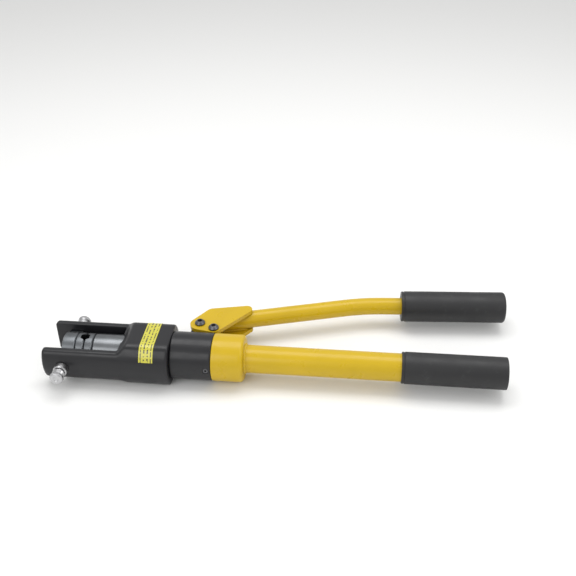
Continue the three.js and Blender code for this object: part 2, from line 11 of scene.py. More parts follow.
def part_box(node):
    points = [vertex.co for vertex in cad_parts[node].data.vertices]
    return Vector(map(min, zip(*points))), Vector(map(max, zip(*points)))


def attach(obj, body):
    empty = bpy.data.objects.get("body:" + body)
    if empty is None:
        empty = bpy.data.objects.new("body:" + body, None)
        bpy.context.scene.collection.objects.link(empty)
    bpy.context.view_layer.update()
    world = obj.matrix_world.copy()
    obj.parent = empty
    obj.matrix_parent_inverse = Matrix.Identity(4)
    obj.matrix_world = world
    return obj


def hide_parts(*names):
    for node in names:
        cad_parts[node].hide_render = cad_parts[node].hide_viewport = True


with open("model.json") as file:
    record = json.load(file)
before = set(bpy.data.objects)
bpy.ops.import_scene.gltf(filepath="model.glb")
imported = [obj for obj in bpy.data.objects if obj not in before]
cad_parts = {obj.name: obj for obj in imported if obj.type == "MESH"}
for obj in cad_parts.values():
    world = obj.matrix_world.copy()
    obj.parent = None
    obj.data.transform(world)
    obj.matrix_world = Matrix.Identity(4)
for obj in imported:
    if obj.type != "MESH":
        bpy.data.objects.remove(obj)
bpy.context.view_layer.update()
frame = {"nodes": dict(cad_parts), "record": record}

# ---- Driving dimensions, in metres -----------------------------------------------------

MM = 0.001
SEGMENTS = 96
GAP = 0.3 * MM
CAST_VOXEL = 0.8 * MM

HEAD_LOW, HEAD_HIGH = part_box("head_frame")
AXIS_Z = (HEAD_LOW.z + HEAD_HIGH.z) / 2
HEAD_RADIUS = HEAD_HIGH.y
BLOCK_HALF = (HEAD_HIGH.z - HEAD_LOW.z) / 2
BLOCK_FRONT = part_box("rod_wiper")[0].x - 4.3 * MM
RAMP_LENGTH = 12 * MM
FRONT_WALL = 11.5 * MM
ANVIL_LOW, ANVIL_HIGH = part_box("anvil_block")
EAR_TOP = 10 * MM
ARM_HALF = 19.5 * MM
ARM_INNER = ANVIL_HIGH.y - 3.7 * MM
BORE_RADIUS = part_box("piston_seal")[1].y + 0.2 * MM
ROD_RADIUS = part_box("ram_rod")[1].y
DIE_CHAMFER = 1.2 * MM
DIE_GAP = 0.8 * MM
HEX_RADIUS = 6 * MM
SHANK_RADIUS = 6 * MM
SHANK_LENGTH = 7 * MM
RAM_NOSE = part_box("ram_rod")[0].x
SPRING_BORE = 9 * MM
STUB_RADIUS = 14 * MM
KNOB_LOW, KNOB_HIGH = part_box("knob_back")
KNOB_X = (KNOB_LOW.x + KNOB_HIGH.x) / 2
KNOB_TIP = KNOB_HIGH.y
KNOB_RADIUS = KNOB_HIGH.z - AXIS_Z
KNOB_PIN = 2.5 * MM
BUSH_SHANK = 6 * MM
BUSH_LIP = 8 * MM
BUSH_BORE = 4.4 * MM
BUSH_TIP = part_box("knob_bush_back")[1].y

BODY_LOW, BODY_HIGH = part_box("pump_body")
BODY_RADIUS = BODY_HIGH.z - AXIS_Z
BODY_FRONT = HEAD_HIGH.x + GAP
COLLAR_LOW, COLLAR_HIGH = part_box("handle_collar")
COLLAR_SHOULDER = 9 * MM
SPIGOT_RADIUS = 19 * MM
SPIGOT_LENGTH = 21.5 * MM
TUBE_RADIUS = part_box("fixed_tube")[1].y
TUBE_WALL = 2 * MM
GRIP_LOW, GRIP_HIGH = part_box("fixed_grip")
PLUG_RIM = 3.5 * MM
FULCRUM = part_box("fulcrum_nut")
FULCRUM_BOLT = 4 * MM
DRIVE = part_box("drive_nut")
DRIVE_BOLT = 3 * MM
LUG_RADIUS = 9.5 * MM
LUG_HALF = 11 * MM
PLUNGER_RADIUS = 4.5 * MM
GLAND_RADIUS = 6.4 * MM
GLAND_OFFSET = 1.1 * MM
RELEASE_DROP = 14 * MM
PLATE_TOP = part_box("yoke_plate_top")[1].z
MOVING_RADIUS = (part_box("moving_tube")[1].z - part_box("moving_tube")[0].z) / 2

# The moving handle's centre line: two straights that meet in a bend.
HANDLE_ROOT = Vector((0.0700, 0.0655, AXIS_Z))
HANDLE_BEND = Vector((0.2520, 0.1190, AXIS_Z))
HANDLE_TAIL = Vector((0.4240, 0.1305, AXIS_Z))
BEND_LENGTH = 26 * MM
MOVING_GRIP_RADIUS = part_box("moving_grip")[1].z - AXIS_Z
MOVING_GRIP_LENGTH = 130 * MM

# The camera stands in front and to the right of the middle, looking down.
CAMERA_PLACE = Vector((0.2540, -0.7666, 0.6597))
CAMERA_ELEVATION = math.radians(34.39)
CAMERA_YAW = math.radians(-6.37)
CAMERA_ROLL = math.radians(-0.75)
CAMERA_LENS = 53.03


# ---- Materials -------------------------------------------------------------------------


def node_material(name):
    material = bpy.data.materials.new(name)
    material.use_nodes = True
    return material, material.node_tree, material.node_tree.nodes["Principled BSDF"]


def coordinates(tree, stretch=(1, 1, 1)):
    """Object coordinates, stretched along the axes."""
    place = tree.nodes.new("ShaderNodeTexCoord")
    mapping = tree.nodes.new("ShaderNodeMapping")
    mapping.inputs["Scale"].default_value = stretch
    tree.links.new(place.outputs["Object"], mapping.inputs["Vector"])
    return mapping.outputs["Vector"]


def noise(tree, vector, scale, detail=4.0, roughness=0.55):
    texture = tree.nodes.new("ShaderNodeTexNoise")
    texture.inputs["Scale"].default_value = scale
    texture.inputs["Detail"].default_value = detail
    texture.inputs["Roughness"].default_value = roughness
    tree.links.new(vector, texture.inputs["Vector"])
    return texture.outputs["Fac"]


def spread(tree, value, low, high, start=0.3, end=0.7):
    """Maps the middle of a noise to a range of values."""
    node = tree.nodes.new("ShaderNodeMapRange")
    node.inputs["From Min"].default_value = start
    node.inputs["From Max"].default_value = end
    node.inputs["To Min"].default_value = low
    node.inputs["To Max"].default_value = high
    tree.links.new(value, node.inputs["Value"])
    return node.outputs["Result"]


def mixed(tree, factor, first, second):
    """A colour between two, by a factor; each is a colour or another node's output."""
    node = tree.nodes.new("ShaderNodeMix")
    node.data_type = "RGBA"
    tree.links.new(factor, node.inputs["Factor"])
    for socket, colour in (("A", first), ("B", second)):
        target = next(i for i in node.inputs if i.name == socket and i.type == "RGBA")
        if isinstance(colour, bpy.types.NodeSocket):
            tree.links.new(colour, target)
        else:
            target.default_value = (*colour, 1)
    return next(o for o in node.outputs if o.type == "RGBA")


def bump(tree, shader, height, strength, distance):
    node = tree.nodes.new("ShaderNodeBump")
    node.inputs["Strength"].default_value = strength
    node.inputs["Distance"].default_value = distance
    tree.links.new(height, node.inputs["Height"])
    tree.links.new(node.outputs["Normal"], shader.inputs["Normal"])


def paint(name, colour, wear_colour, roughness):
    """Sprayed enamel: slight orange peel, soft blotches of gloss, and small scuffs."""
    material, tree, shader = node_material(name)
    vector = coordinates(tree)
    shade = spread(tree, noise(tree, vector, 18), 0, 1)
    darker = [channel * 0.92 for channel in colour]
    base = mixed(tree, shade, darker, colour)
    scuffs = spread(tree, noise(tree, vector, 420, 6, 0.6), 0, 0.3, 0.7, 0.8)
    tree.links.new(mixed(tree, scuffs, base, wear_colour), shader.inputs["Base Color"])
    gloss = noise(tree, vector, 60, 5)
    tree.links.new(spread(tree, gloss, roughness - 0.06, roughness + 0.1), shader.inputs["Roughness"])
    shader.inputs["Specular IOR Level"].default_value = 0.32
    shader.inputs["Coat Weight"].default_value = 0.12
    shader.inputs["Coat Roughness"].default_value = 0.12
    bump(tree, shader, noise(tree, vector, 700, 2), 0.1, 0.0002)
    return material


def steel(name, colour, roughness, stretch):
    """Machined steel, whose tool marks change fastest along the axis that is stretched most."""
    material, tree, shader = node_material(name)
    marks = noise(tree, coordinates(tree, stretch), 120, 6, 0.7)
    blotches = noise(tree, coordinates(tree), 45, 4)
    dark = [channel * 0.72 for channel in colour]
    base = mixed(tree, spread(tree, blotches, 0, 1), dark, colour)
    tree.links.new(base, shader.inputs["Base Color"])
    tree.links.new(spread(tree, marks, roughness - 0.04, roughness + 0.08), shader.inputs["Roughness"])
    shader.inputs["Metallic"].default_value = 1.0
    bump(tree, shader, marks, 0.015, 0.0001)
    return material


def rubber(name, colour, grain, roughness):
    """Moulded rubber with a fine grain and a trace of dust."""
    material, tree, shader = node_material(name)
    vector = coordinates(tree)
    dust = spread(tree, noise(tree, vector, 90, 8, 0.75), 0, 0.5, 0.55, 0.8)
    dusty = [channel + 0.05 for channel in colour]
    tree.links.new(mixed(tree, dust, colour, dusty), shader.inputs["Base Color"])
    mottle = noise(tree, vector, 35)
    tree.links.new(spread(tree, mottle, roughness - 0.08, roughness + 0.08), shader.inputs["Roughness"])
    shader.inputs["Specular IOR Level"].default_value = 0.45
    bump(tree, shader, noise(tree, vector, grain, 3), 0.35, 0.0003)
    return material


def math_node(tree, operation, first, second):
    node = tree.nodes.new("ShaderNodeMath")
    node.operation = operation
    for socket, value in zip(node.inputs, (first, second)):
        if isinstance(value, bpy.types.NodeSocket):
            tree.links.new(value, socket)
        else:
            socket.default_value = value
    return node.outputs[0]


def label_film(from_x, to_x):
    """Yellow film with rows of plain dark bars, which stand for print and hold no letters."""
    material, tree, shader = node_material("label_film")
    vector = coordinates(tree)
    base = mixed(tree, noise(tree, vector, 30), (0.53, 0.49, 0.04), (0.6, 0.56, 0.06))
    place = tree.nodes.new("ShaderNodeSeparateXYZ")
    tree.links.new(vector, place.inputs["Vector"])
    from_edge = math_node(tree, "SUBTRACT", place.outputs["X"], from_x)
    across = math_node(tree, "DIVIDE", from_edge, to_x - from_x)
    half_row = 0.125
    row = math_node(tree, "PINGPONG", math_node(tree, "ADD", across, half_row), half_row)
    on_row = math_node(tree, "LESS_THAN", row, 0.05)
    off_centre = math_node(tree, "ABSOLUTE", math_node(tree, "SUBTRACT", across, 0.5), 0)
    inside = math_node(tree, "LESS_THAN", off_centre, 0.4)
    breaks = noise(tree, coordinates(tree, (190, 520, 260)), 1.0, 0)
    bars = math_node(tree, "GREATER_THAN", breaks, 0.47)
    ink = math_node(tree, "MULTIPLY", math_node(tree, "MULTIPLY", on_row, inside), bars)
    tree.links.new(mixed(tree, ink, base, (0.09, 0.085, 0.03)), shader.inputs["Base Color"])
    shader.inputs["Roughness"].default_value = 0.34
    shader.inputs["Coat Weight"].default_value = 0.4
    bump(tree, shader, noise(tree, vector, 220, 3), 0.1, 0.0002)
    return material


def floor_material():
    material, tree, shader = node_material("floor")
    speckle = noise(tree, coordinates(tree), 300, 3)
    pale = mixed(tree, speckle, (0.82, 0.82, 0.81), (0.86, 0.86, 0.85))
    tree.links.new(pale, shader.inputs["Base Color"])
    shader.inputs["Roughness"].default_value = 0.6
    return material


# How the tool marks are scaled, for pieces that were turned about X or about Y.
ALONG_X = (30, 0.3, 0.3)
ALONG_Y = (0.3, 30, 0.3)

LOOKS = {
    "yellow_paint": paint("yellow_paint", (0.575, 0.385, 0.008), (0.44, 0.29, 0.02), 0.3),
    "black_paint": paint("black_paint", (0.014, 0.014, 0.016), (0.06, 0.06, 0.06), 0.34),
    "dark_steel": steel("dark_steel", (0.16, 0.16, 0.17), 0.34, ALONG_X),
    "die_steel": steel("die_steel", (0.17, 0.18, 0.19), 0.36, ALONG_X),
    "ram_steel": steel("ram_steel", (0.22, 0.23, 0.24), 0.3, ALONG_X),
    "bright_steel": steel("bright_steel", (0.56, 0.56, 0.57), 0.28, ALONG_Y),
    "bronze": steel("bronze", (0.55, 0.36, 0.16), 0.35, ALONG_Y),
    "seal_rubber": rubber("seal_rubber", (0.015, 0.015, 0.015), 900, 0.5),
    "grip_rubber": rubber("grip_rubber", (0.016, 0.016, 0.017), 1100, 0.5),
    "black_plastic": rubber("black_plastic", (0.02, 0.02, 0.02), 1500, 0.42),
    "label_film": label_film(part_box("label_band")[0].x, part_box("label_band")[1].x),
}


# ---- Mesh helpers ----------------------------------------------------------------------


def scratch_object(name, mesh):
    piece = bpy.data.objects.new(name, mesh)
    bpy.context.scene.collection.objects.link(piece)
    return piece


def piece_of(piece, body, slot, *nodes):
    """Gives a finished piece its material, its body, and the CAD nodes that it stands for."""
    piece.data.materials.clear()
    piece.data.materials.append(LOOKS[slot])
    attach(piece, body)
    if nodes:
        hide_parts(*nodes)
    return piece


def smooth(piece, angle=40):
    piece.data.shade_smooth()
    piece.data.set_sharp_from_angle(angle=math.radians(angle))
    return piece


def rounded(points, radius, closed=False, steps=5):
    """An outline with its corners rounded, by one radius or by one for each point."""
    points = [Vector(point) for point in points]
    radii = radius if isinstance(radius, (list, tuple)) else [radius] * len(points)
    result = []
    for i, corner in enumerate(points):
        ends = not closed and i in (0, len(points) - 1)
        if ends or radii[i] <= 0:
            result.append(corner)
            continue
        before = points[i - 1] - corner
        after = points[(i + 1) % len(points)] - corner
        half = before.angle(after) / 2
        reach = min(radii[i] / math.tan(half), 0.48 * before.length, 0.48 * after.length)
        start = corner + before.normalized() * reach
        end = corner + after.normalized() * reach
        for step in range(steps + 1):
            t = step / steps
            result.append(start * (1 - t) ** 2 + corner * 2 * t * (1 - t) + end * t * t)
    return result


def turned(name, profile, ripple=None, segments=SEGMENTS):
    """A piece turned about the X axis from (x, radius) points; off the axis it closes on itself.

    ripple(x, angle) adds to the radius, for knurls and ribs."""
    bm = bmesh.new()
    rings = []
    for x, radius in profile:
        if radius < 1e-7:
            rings.append([bm.verts.new((x, 0, 0))])
            continue
        ring = []
        for i in range(segments):
            angle = i / segments * math.tau
            wide = radius + (ripple(x, angle) if ripple else 0)
            ring.append(bm.verts.new((x, wide * math.cos(angle), wide * math.sin(angle))))
        rings.append(ring)
    pairs = list(zip(rings, rings[1:]))
    if len(rings[0]) > 1 and len(rings[-1]) > 1:
        pairs.append((rings[-1], rings[0]))
    for first, second in pairs:
        for i in range(segments):
            j = (i + 1) % segments
            corners = [first[i % len(first)], first[j % len(first)]]
            corners += [second[j % len(second)], second[i % len(second)]]
            bm.faces.new(list(dict.fromkeys(corners)))
    bmesh.ops.recalc_face_normals(bm, faces=bm.faces)
    return smooth(scratch_object(name, mesh_from(bm, name)))


def mesh_from(bm, name):
    mesh = bpy.data.meshes.new(name)
    bm.to_mesh(mesh)
    bm.free()
    return mesh


def placed(piece, x=0, y=0, z=0, turn=None, axis="Z"):
    """Turns a piece about the origin and moves it, in its mesh."""
    matrix = Matrix.Translation((x, y, z))
    if turn is not None:
        matrix = matrix @ Matrix.Rotation(turn, 4, axis)
    piece.data.transform(matrix)
    return piece


def along_y(piece):
    return placed(piece, turn=math.pi / 2)


def along_z(piece):
    return placed(piece, turn=-math.pi / 2, axis="Y")


def rod(x0, x1, radius, segments=64):
    return turned("cutter", [(x0, 0), (x0, radius), (x1, radius), (x1, 0)], segments=segments)


def plate(name, outline, z0, z1):
    """A flat piece with its outline in X and Y, between two heights."""
    bm = bmesh.new()
    face = bm.faces.new([bm.verts.new((point[0], point[1], z0)) for point in outline])
    grown = bmesh.ops.extrude_face_region(bm, geom=[face])["geom"]
    moved = [item for item in grown if isinstance(item, bmesh.types.BMVert)]
    bmesh.ops.translate(bm, verts=moved, vec=(0, 0, z1 - z0))
    bmesh.ops.recalc_face_normals(bm, faces=bm.faces)
    return scratch_object(name, mesh_from(bm, name))


def box(x0, x1, y0, y1, z0, z1, name="cutter"):
    return plate(name, [(x0, y0), (x1, y0), (x1, y1), (x0, y1)], z0, z1)


def carved(piece, cutters, operation="DIFFERENCE"):
    """Cuts the cutters out of the piece, or joins them to it, for good."""
    for cutter in cutters:
        modifier = piece.modifiers.new("carve", "BOOLEAN")
        modifier.object = cutter
        modifier.operation = operation
        modifier.solver = "EXACT"
    bake_modifiers(piece)
    for cutter in cutters:
        bpy.data.objects.remove(cutter)
    return piece


def bake_modifiers(piece):
    graph = bpy.context.evaluated_depsgraph_get()
    mesh = bpy.data.meshes.new_from_object(piece.evaluated_get(graph))
    piece.modifiers.clear()
    piece.data = mesh


def cast(piece, voxel, passes):
    """Remeshes a carved piece evenly and smooths it, so that its edges round off as a forging's do."""
    remesh = piece.modifiers.new("remesh", "REMESH")
    remesh.mode = "VOXEL"
    remesh.voxel_size = voxel
    soften = piece.modifiers.new("soften", "SMOOTH")
    soften.factor = 0.5
    soften.iterations = passes
    bake_modifiers(piece)
    piece.data.shade_smooth()
    return piece


def bevelled(piece, width, segments=3):
    piece.data.shade_smooth()
    bevel = piece.modifiers.new("bevel", "BEVEL")
    bevel.width = width
    bevel.segments = segments
    bevel.limit_method = "ANGLE"
    bevel.angle_limit = math.radians(40)
    bevel.harden_normals = True
    return piece


def belt(circles, steps=72):
    """The outline that a belt makes round several circles, given as (x, y, radius)."""
    rim = sorted(
        (x + radius * math.cos(i / steps * math.tau), y + radius * math.sin(i / steps * math.tau))
        for x, y, radius in circles
        for i in range(steps)
    )

    def chain(points):
        kept = []
        for point in points:
            while len(kept) > 1 and not turns_left(kept[-2], kept[-1], point):
                kept.pop()
            kept.append(point)
        return kept[:-1]

    return chain(rim) + chain(rim[::-1])


def turns_left(a, b, c):
    return (b[0] - a[0]) * (c[1] - a[1]) - (b[1] - a[1]) * (c[0] - a[0]) > 1e-12


def middle(corners):
    return (corners[0] + corners[1]) / 2


# ---- Head ------------------------------------------------------------------------------


def limited(value, limit, blend):
    """The value held under a limit, with a rounded corner between the two."""
    size = abs(value)
    share = max(blend - abs(size - limit), 0) / blend
    return math.copysign(min(size, limit) - share * share * blend / 4, value)


def head_outline(radius, half, count=192):
    """The head's section in Y and Z: a circle, cut flat above and below."""
    blend = 4 * MM
    for i in range(count):
        angle = i / count * math.tau
        yield radius * math.cos(angle), limited(radius * math.sin(angle), half, blend)


def head_stations():
    """Stations along X, each with how far the section is inset and its half height."""
    tip, rear = 3.5 * MM, 2.0 * MM
    corner_steps, ramp_steps = 5, 12
    for step in range(corner_steps + 1):
        angle = step / corner_steps * math.pi / 2
        yield HEAD_LOW.x + tip * (1 - math.cos(angle)), tip * (1 - math.sin(angle)), ARM_HALF
    for step in range(1, ramp_steps + 1):
        t = step / ramp_steps
        rise = t * t * (3 - 2 * t)
        yield BLOCK_FRONT + RAMP_LENGTH * t, 0, ARM_HALF + (BLOCK_HALF - ARM_HALF) * rise
    for step in range(corner_steps + 1):
        angle = step / corner_steps * math.pi / 2
        yield HEAD_HIGH.x - rear * (1 - math.sin(angle)), rear * (1 - math.cos(angle)), BLOCK_HALF


def lofted(name, sections):
    bm = bmesh.new()
    rings = [[bm.verts.new(point) for point in section] for section in sections]
    for first, second in zip(rings, rings[1:]):
        for i in range(len(first)):
            j = (i + 1) % len(first)
            bm.faces.new((first[i], first[j], second[j], second[i]))
    bm.faces.new(rings[0])
    bm.faces.new(rings[-1])
    bmesh.ops.recalc_face_normals(bm, faces=bm.faces)
    return scratch_object(name, mesh_from(bm, name))


def make_head():
    sections = [
        [(x, y, z) for y, z in head_outline(HEAD_RADIUS - inset, half - inset)]
        for x, inset, half in head_stations()
    ]
    head = lofted("head", sections)
    tall = HEAD_RADIUS
    ahead = HEAD_LOW.x - 10 * MM
    slot = [
        (ahead, -ARM_INNER),
        (BLOCK_FRONT, -ARM_INNER),
        (BLOCK_FRONT, ARM_INNER),
        (ahead, ARM_INNER),
    ]
    corner = 2.5 * MM
    pocket = ANVIL_HIGH.y + GAP
    bore = along_y(rod(-50 * MM, 50 * MM, BUSH_SHANK + GAP))
    carved(bore, [box(-20 * MM, 20 * MM, -pocket, pocket, -20 * MM, 20 * MM)])
    cutters = [
        plate("cutter", rounded(slot, [0, corner, corner, 0], closed=True), -tall, tall),
        box(ANVIL_LOW.x - GAP, ANVIL_HIGH.x + GAP, -pocket, pocket, -tall, EAR_TOP + GAP),
        rod(BLOCK_FRONT - 5 * MM, BLOCK_FRONT + 20 * MM, ROD_RADIUS + GAP),
        rod(BLOCK_FRONT + FRONT_WALL, HEAD_HIGH.x + 5 * MM, BORE_RADIUS),
        placed(bore, x=KNOB_X),
    ]
    carved(head, cutters)
    cast(head, CAST_VOXEL, 5)
    return piece_of(placed(head, z=AXIS_Z), "head", "black_paint", "head_frame")


def round_block(name, x0, x1):
    """A turned block as wide as the ram, with its ends chamfered."""
    rim = ROD_RADIUS - DIE_CHAMFER
    profile = [
        (x0, 0),
        (x0, rim),
        (x0 + DIE_CHAMFER, ROD_RADIUS),
        (x1 - DIE_CHAMFER, ROD_RADIUS),
        (x1, rim),
        (x1, 0),
    ]
    return turned(name, rounded(profile, 0.3 * MM))


def make_anvil():
    """The round anvil block, with an ear for each arm and a socket for the fixed die."""
    low, high = ANVIL_LOW, ANVIL_HIGH
    anvil = round_block("anvil", low.x, high.x)
    ears = box(low.x, high.x, low.y, high.y, low.z - AXIS_Z, EAR_TOP)
    carved(anvil, [ears], "UNION")
    socket = rod(high.x - SHANK_LENGTH - 1 * MM, high.x + 1 * MM, SHANK_RADIUS + GAP)
    carved(anvil, [socket])
    anvil = bevelled(placed(anvil, z=AXIS_Z), 0.6 * MM)
    return piece_of(anvil, "head", "die_steel", "anvil_block")


def make_die(name, back, face, body, node):
    """Half of the die, with its half of the hexagon and a shank into its holder."""
    towards = 1 if face > back else -1
    block = round_block(name, min(back, face), max(back, face))
    centre = face + towards * DIE_GAP / 2
    hexagon = [
        (centre + HEX_RADIUS * math.sin(i * math.pi / 3), HEX_RADIUS * math.cos(i * math.pi / 3))
        for i in range(6)
    ]
    carved(block, [plate("cutter", hexagon, -100 * MM, 100 * MM)])
    shank = rod(back - towards * SHANK_LENGTH, back + towards * 1 * MM, SHANK_RADIUS)
    carved(block, [shank], "UNION")
    return piece_of(bevelled(placed(block, z=AXIS_Z), 0.5 * MM), body, "die_steel", node)


def make_label():
    """A film that wraps the block's top and sides, with its own rounded section."""
    low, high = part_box("label_band")
    glue, film = 0.05 * MM, 0.35 * MM
    inner, outer = (
        [p for p in head_outline(HEAD_RADIUS + off, BLOCK_HALF + off) if p[1] > low.z - AXIS_Z]
        for off in (glue, film)
    )
    bm = bmesh.new()
    edges = []
    for x, ring in ((low.x, inner), (low.x, outer), (high.x, outer), (high.x, inner)):
        edges.append([bm.verts.new((x, y, z + AXIS_Z)) for y, z in ring])
    for first, second in zip(edges, edges[1:] + edges[:1]):
        for i in range(min(len(first), len(second)) - 1):
            bm.faces.new((first[i], first[i + 1], second[i + 1], second[i]))
    for i in (0, -1):
        bm.faces.new([edge[i] for edge in edges])
    bmesh.ops.recalc_face_normals(bm, faces=bm.faces)
    label = smooth(scratch_object("label", mesh_from(bm, "label")))
    return piece_of(label, "head", "label_film", "label_band")


def knurl(x, angle):
    """Grooves along the outer rim of a pull knob."""
    on_rim = KNOB_TIP - 4.2 * MM < x < KNOB_TIP - 1.2 * MM
    return 0.2 * MM * math.cos(angle * 32) if on_rim else 0


def make_knob(side, turn):
    pin_tip = 21.5 * MM
    collar = ARM_INNER + 4.5 * MM
    rim = KNOB_RADIUS - 0.22 * MM
    profile = rounded(
        [
            (pin_tip, 0),
            (pin_tip, KNOB_PIN),
            (collar, KNOB_PIN),
            (collar, 4 * MM),
            (collar + 1.5 * MM, 4 * MM),
            (collar + 1.5 * MM, KNOB_PIN),
            (BUSH_TIP + 1 * MM, KNOB_PIN),
            (BUSH_TIP + 1 * MM, KNOB_RADIUS - 1.6 * MM),
            (BUSH_TIP + 3 * MM, KNOB_RADIUS - 0.6 * MM),
            (KNOB_TIP - 6.4 * MM, KNOB_RADIUS - 2.6 * MM),
            (KNOB_TIP - 4.5 * MM, KNOB_RADIUS - 0.4 * MM),
            (KNOB_TIP - 4.0 * MM, rim),
            (KNOB_TIP - 2.7 * MM, rim),
            (KNOB_TIP - 1.4 * MM, rim),
            (KNOB_TIP, KNOB_RADIUS - 1.4 * MM),
            (KNOB_TIP, 3.2 * MM),
            (KNOB_TIP - 0.8 * MM, 2.4 * MM),
            (KNOB_TIP - 0.8 * MM, 0),
        ],
        0.5 * MM,
    )
    knob = placed(along_y(turned(f"pull_knob_{side}", profile, knurl, 224)), turn=turn)
    placed(knob, x=KNOB_X, z=AXIS_Z)
    return piece_of(knob, f"knob_{side}", "bright_steel", f"knob_{side}")


def make_bush(side, turn):
    start = ARM_INNER + 4.3 * MM
    lip = 2 * MM
    profile = rounded(
        [
            (start, BUSH_BORE),
            (start, BUSH_SHANK),
            (HEAD_RADIUS + GAP, BUSH_SHANK),
            (HEAD_RADIUS + GAP, BUSH_LIP),
            (BUSH_TIP - 1.2 * MM, BUSH_LIP),
            (BUSH_TIP, BUSH_LIP - 1.2 * MM),
            (BUSH_TIP, KNOB_PIN + GAP),
            (BUSH_TIP - lip, KNOB_PIN + GAP),
            (BUSH_TIP - lip, BUSH_BORE),
        ],
        0.3 * MM,
        closed=True,
    )
    bush = placed(along_y(turned(f"bush_{side}", profile)), turn=turn)
    placed(bush, x=KNOB_X, z=AXIS_Z)
    return piece_of(bush, "head", "bright_steel", f"knob_bush_{side}")


make_head()
make_anvil()
make_die("die_fixed", ANVIL_HIGH.x + GAP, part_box("fixed_die")[1].x, "head", "fixed_die")
make_die("die_moving", RAM_NOSE - GAP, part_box("moving_die")[0].x, "ram", "moving_die")
make_label()
for side, turn in (("back", None), ("front", math.pi)):
    make_knob(side, turn)
    make_bush(side, turn)


# ---- Ram -------------------------------------------------------------------------------


def make_ram():
    """The ram rod, with the die's socket in its nose and the spring's bore in its rear."""
    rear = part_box("ram_rod")[1].x
    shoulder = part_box("ram_piston")[0].x - GAP
    socket = RAM_NOSE + SHANK_LENGTH + 0.5 * MM
    bore = RAM_NOSE + 10 * MM
    chamfer = 1.6 * MM
    profile = rounded(
        [
            (socket, 0),
            (socket, SHANK_RADIUS + GAP),
            (RAM_NOSE, SHANK_RADIUS + GAP),
            (RAM_NOSE, ROD_RADIUS - chamfer),
            (RAM_NOSE + chamfer, ROD_RADIUS),
            (shoulder, ROD_RADIUS),
            (shoulder, STUB_RADIUS),
            (rear, STUB_RADIUS),
            (rear, SPRING_BORE),
            (bore, SPRING_BORE),
            (bore, 0),
        ],
        0.4 * MM,
    )
    return piece_of(placed(turned("ram", profile), z=AXIS_Z), "ram", "ram_steel", "ram_rod")


make_ram()


# ---- Pump body -------------------------------------------------------------------------


def make_body():
    """The round pump body with its nose, its spigot and the lug for the fulcrum bolt."""
    nose = BODY_LOW.x
    nose_radius = BORE_RADIUS - 0.4 * MM
    spigot_end = COLLAR_LOW.x + SPIGOT_LENGTH
    stem_end, stem_radius = spigot_end + 9 * MM, 11 * MM
    rear = COLLAR_LOW.x - GAP
    profile = rounded(
        [
            (nose, 0),
            (nose, nose_radius),
            (BODY_FRONT, nose_radius),
            (BODY_FRONT, BODY_RADIUS),
            (rear, BODY_RADIUS),
            (rear, SPIGOT_RADIUS),
            (spigot_end, SPIGOT_RADIUS),
            (spigot_end, stem_radius),
            (stem_end, stem_radius),
            (stem_end, 0),
        ],
        1.0 * MM,
    )
    body = turned("pump", profile)
    fulcrum, drive = middle(FULCRUM), middle(DRIVE)
    lug_root = BODY_RADIUS - 8 * MM
    lug = belt([(fulcrum.x, fulcrum.y, LUG_RADIUS), (fulcrum.x - 2 * MM, lug_root, LUG_RADIUS)])
    carved(body, [plate("lug", lug, -LUG_HALF, LUG_HALF)], "UNION")
    bolt_hole = along_z(rod(-20 * MM, 20 * MM, FULCRUM_BOLT + GAP))
    plunger_bore = along_y(rod(-3 * MM, 32 * MM, PLUNGER_RADIUS + GAP))
    gland_bore = along_y(rod(19 * MM, 32 * MM, GLAND_RADIUS + GAP))
    inlet_bore = along_y(rod(-32 * MM, -15 * MM, 3.4 * MM))
    release_bore = rod(BODY_FRONT + 30 * MM, spigot_end + 5 * MM, 3.3 * MM)
    cutters = [
        rod(nose - 5 * MM, nose + 31 * MM, SPRING_BORE),
        placed(bolt_hole, x=fulcrum.x, y=fulcrum.y),
        placed(plunger_bore, x=drive.x),
        placed(gland_bore, x=drive.x - GLAND_OFFSET),
        placed(inlet_bore, x=drive.x),
        placed(release_bore, z=-RELEASE_DROP),
    ]
    carved(body, cutters)
    cast(body, CAST_VOXEL, 3)
    return piece_of(placed(body, z=AXIS_Z), "pump", "black_paint", "pump_body")


make_body()


# ---- Fixed handle ----------------------------------------------------------------------


def make_collar():
    """The collar that joins the tube to the pump body, with a well rounded rear shoulder."""
    front, rear = COLLAR_LOW.x, COLLAR_HIGH.x
    chamber = front + SPIGOT_LENGTH + 4 * MM
    profile = rounded(
        [
            (front, SPIGOT_RADIUS + GAP),
            (front, BODY_RADIUS),
            (rear, BODY_RADIUS),
            (rear, TUBE_RADIUS + GAP),
            (chamber, TUBE_RADIUS + GAP),
            (chamber, SPIGOT_RADIUS + GAP),
        ],
        [0.4 * MM, 0.8 * MM, COLLAR_SHOULDER, 0.5 * MM, 0, 0],
        closed=True,
        steps=12,
    )
    collar = placed(turned("collar", profile), z=AXIS_Z)
    return piece_of(collar, "fixed_handle", "yellow_paint", "handle_collar")


def make_weld(name, x, radius, size):
    """A weld bead round the tube, with the small ripples that a torch leaves."""
    steps = 12
    angles = [i / steps * math.tau for i in range(steps)]
    profile = [
        (x + size * 0.9 * math.cos(angle), radius + size * 0.55 * math.sin(angle))
        for angle in angles
    ]
    bead = turned(name, profile, lambda _, angle: 0.12 * MM * math.sin(angle * 46), 184)
    return piece_of(placed(bead, z=AXIS_Z), "fixed_handle", "yellow_paint")


def make_fixed_tube():
    low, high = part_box("fixed_tube")
    profile = rounded(
        [
            (low.x, TUBE_RADIUS - TUBE_WALL),
            (low.x, TUBE_RADIUS),
            (high.x, TUBE_RADIUS),
            (high.x, TUBE_RADIUS - TUBE_WALL),
        ],
        0.4 * MM,
        closed=True,
    )
    tube = placed(turned("handle_tube", profile), z=AXIS_Z)
    return piece_of(tube, "fixed_handle", "yellow_paint", "fixed_tube")


